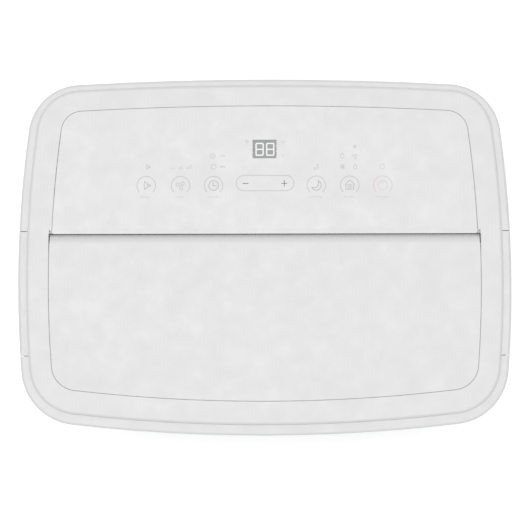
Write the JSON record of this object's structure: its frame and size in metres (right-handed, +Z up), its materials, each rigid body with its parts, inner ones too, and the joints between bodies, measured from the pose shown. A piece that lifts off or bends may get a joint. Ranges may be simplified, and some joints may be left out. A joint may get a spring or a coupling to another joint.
{
  "type": "portable air conditioner",
  "caption": "Upright white cabinet on casters with a rounded top carrying a touch panel and a wide air flap, and intake grilles and a round hose outlet behind.",
  "frame": {"origin": "on the floor under the middle of the cabinet, level with the casters' treads", "axes": "+X to the right of a user who faces the front, +Y to the rear where the grilles and the hose collar are, +Z up; the air flap is at the front of the top and the touch panel at its rear"},
  "size_m": [0.432, 0.312, 0.695],
  "materials": {
    "shell_white": "satin moulded ABS",
    "flap_white": "satin moulded ABS",
    "panel_white": "satin ABS with printed touch symbols",
    "display_grey": "smoked translucent window",
    "board_green": "solder-masked circuit board",
    "inner_grey": "moulded polypropylene",
    "duct_white": "moulded ABS",
    "blower_black": "glass-filled polypropylene",
    "motor_grey": "painted pressed steel",
    "fin_aluminium": "bare fin stock",
    "copper": "drawn copper tube",
    "compressor_black": "gloss black enamel",
    "zinc_steel": "zinc plated",
    "box_steel": "galvanised sheet",
    "rubber_black": "moulded rubber",
    "rubber_grey": "moulded rubber",
    "caster_grey": "moulded nylon",
    "tread_grey": "moulded nylon tread",
    "capacitor_metal": "drawn can",
    "filter_grey": "frame and dust net",
    "sleeve_black": "woven sleeve"
  },
  "bodies": {
    "cabinet": {"base_pan": "inner_grey", "compressor": "compressor_black", "compressor_grommets": "rubber_black", "compressor_studs": "zinc_steel", "condenser_fins": "fin_aluminium", "condenser_tubes": "copper", "control_box": "box_steel", "control_box_lid": "box_steel", "control_panel": "panel_white", "cord_gland": "rubber_grey", "display_board": "board_green", "display_window": "display_grey", "evaporator_fins": "fin_aluminium", "evaporator_tubes": "copper", "exhaust_collar": "shell_white", "exhaust_duct": "inner_grey", "front_panel": "shell_white", "handle_cup_left": "shell_white", "handle_cup_right": "shell_white", "louver_motor": "motor_grey", "lower_motor": "motor_grey", "lower_scroll": "inner_grey", "lower_scroll_cover": "inner_grey", "main_board": "board_green", "outlet_duct": "duct_white", "partition_deck": "inner_grey", "rear_shell": "shell_white", "refrigerant_lines": "copper", "run_capacitor": "capacitor_metal", "shell_screws": "zinc_steel", "side_panel_left": "shell_white", "side_panel_right": "shell_white", "top_frame": "shell_white", "upper_motor": "motor_grey", "upper_scroll": "inner_grey", "upper_scroll_cover": "inner_grey", "wire_harness": "sleeve_black"},
    "flap": {"louver_flap": "flap_white", "louver_shaft": "zinc_steel"},
    "upper_blower": {"upper_blower_wheel": "blower_black"},
    "lower_blower": {"lower_blower_wheel": "blower_black"},
    "upper_grille": {"upper_intake_grille": "shell_white", "filter_screen": "filter_grey"},
    "lower_grille": {"lower_intake_grille": "shell_white"},
    "upper_plug": {"upper_drain_plug": "rubber_grey"},
    "lower_plug": {"lower_drain_plug": "rubber_grey"},
    "tie_bar": {"vane_tie_bar": "duct_white"},
    "vane_1": {"air_vane_1": "duct_white"},
    "vane_2": {"air_vane_2": "duct_white"},
    "vane_3": {"air_vane_3": "duct_white"},
    "vane_4": {"air_vane_4": "duct_white"},
    "vane_5": {"air_vane_5": "duct_white"},
    "fork_front_left": {"caster_front_left_fork": "caster_grey"},
    "wheel_front_left": {"caster_front_left_wheel": "tread_grey"},
    "fork_front_right": {"caster_front_right_fork": "caster_grey"},
    "wheel_front_right": {"caster_front_right_wheel": "tread_grey"},
    "fork_rear_left": {"caster_rear_left_fork": "caster_grey"},
    "wheel_rear_left": {"caster_rear_left_wheel": "tread_grey"},
    "fork_rear_right": {"caster_rear_right_fork": "caster_grey"},
    "wheel_rear_right": {"caster_rear_right_wheel": "tread_grey"}
  },
  "joints": [
    {"name": "flap_hinge", "type": "hinge", "parent": "cabinet", "child": "flap", "pos_m": [0, 0.012, 0.6859], "axis": [-1, 0, 0], "range_deg": [0, 80]},
    {"name": "vane_1_swing", "type": "hinge", "parent": "cabinet", "child": "vane_1", "pos_m": [-0.128, -0.052, 0.65], "axis": [0, 1, 0], "range_deg": [-35, 35]},
    {"name": "vane_2_swing", "type": "hinge", "parent": "cabinet", "child": "vane_2", "pos_m": [-0.064, -0.052, 0.65], "axis": [0, 1, 0], "range_deg": [-35, 35]},
    {"name": "vane_3_swing", "type": "hinge", "parent": "cabinet", "child": "vane_3", "pos_m": [0, -0.052, 0.65], "axis": [0, 1, 0], "range_deg": [-35, 35]},
    {"name": "vane_4_swing", "type": "hinge", "parent": "cabinet", "child": "vane_4", "pos_m": [0.064, -0.052, 0.65], "axis": [0, 1, 0], "range_deg": [-35, 35]},
    {"name": "vane_5_swing", "type": "hinge", "parent": "cabinet", "child": "vane_5", "pos_m": [0.128, -0.052, 0.65], "axis": [0, 1, 0], "range_deg": [-35, 35]},
    {"name": "tie_bar_pivot", "type": "hinge", "parent": "vane_1", "child": "tie_bar", "pos_m": [-0.128, -0.059, 0.64], "axis": [0, 1, 0], "range_deg": [-35, 35]},
    {"name": "upper_blower_spin", "type": "hinge", "parent": "cabinet", "child": "upper_blower", "pos_m": [0, -0.038, 0.505], "axis": [0, 1, 0], "continuous": true},
    {"name": "lower_blower_spin", "type": "hinge", "parent": "cabinet", "child": "lower_blower", "pos_m": [0.05, 0.026, 0.19], "axis": [0, 1, 0], "continuous": true},
    {"name": "upper_grille_slide", "type": "slide", "parent": "cabinet", "child": "upper_grille", "axis": [0, 1, 0], "range_m": [0, 0.045]},
    {"name": "lower_grille_slide", "type": "slide", "parent": "cabinet", "child": "lower_grille", "axis": [0, 1, 0], "range_m": [0, 0.03]},
    {"name": "upper_plug_slide", "type": "slide", "parent": "cabinet", "child": "upper_plug", "axis": [0, 1, 0], "range_m": [0, 0.018]},
    {"name": "lower_plug_slide", "type": "slide", "parent": "cabinet", "child": "lower_plug", "axis": [0, 1, 0], "range_m": [0, 0.018]},
    {"name": "swivel_front_left", "type": "hinge", "parent": "cabinet", "child": "fork_front_left", "pos_m": [-0.15, -0.095, 0.05], "axis": [0, 0, 1], "continuous": true},
    {"name": "roll_front_left", "type": "hinge", "parent": "fork_front_left", "child": "wheel_front_left", "pos_m": [-0.15, -0.104, 0.018], "axis": [1, 0, 0], "continuous": true},
    {"name": "swivel_front_right", "type": "hinge", "parent": "cabinet", "child": "fork_front_right", "pos_m": [0.15, -0.095, 0.05], "axis": [0, 0, 1], "continuous": true},
    {"name": "roll_front_right", "type": "hinge", "parent": "fork_front_right", "child": "wheel_front_right", "pos_m": [0.15, -0.104, 0.018], "axis": [1, 0, 0], "continuous": true},
    {"name": "swivel_rear_left", "type": "hinge", "parent": "cabinet", "child": "fork_rear_left", "pos_m": [-0.15, 0.1, 0.05], "axis": [0, 0, 1], "continuous": true},
    {"name": "roll_rear_left", "type": "hinge", "parent": "fork_rear_left", "child": "wheel_rear_left", "pos_m": [-0.15, 0.091, 0.018], "axis": [1, 0, 0], "continuous": true},
    {"name": "swivel_rear_right", "type": "hinge", "parent": "cabinet", "child": "fork_rear_right", "pos_m": [0.15, 0.1, 0.05], "axis": [0, 0, 1], "continuous": true},
    {"name": "roll_rear_right", "type": "hinge", "parent": "fork_rear_right", "child": "wheel_rear_right", "pos_m": [0.15, 0.091, 0.018], "axis": [1, 0, 0], "continuous": true}
  ],
  "couplings": [
    {"joint": "vane_2_swing", "follows": "vane_1_swing", "ratio": 1},
    {"joint": "vane_3_swing", "follows": "vane_1_swing", "ratio": 1},
    {"joint": "vane_4_swing", "follows": "vane_1_swing", "ratio": 1},
    {"joint": "vane_5_swing", "follows": "vane_1_swing", "ratio": 1},
    {"joint": "tie_bar_pivot", "follows": "vane_1_swing", "ratio": -1}
  ]
}
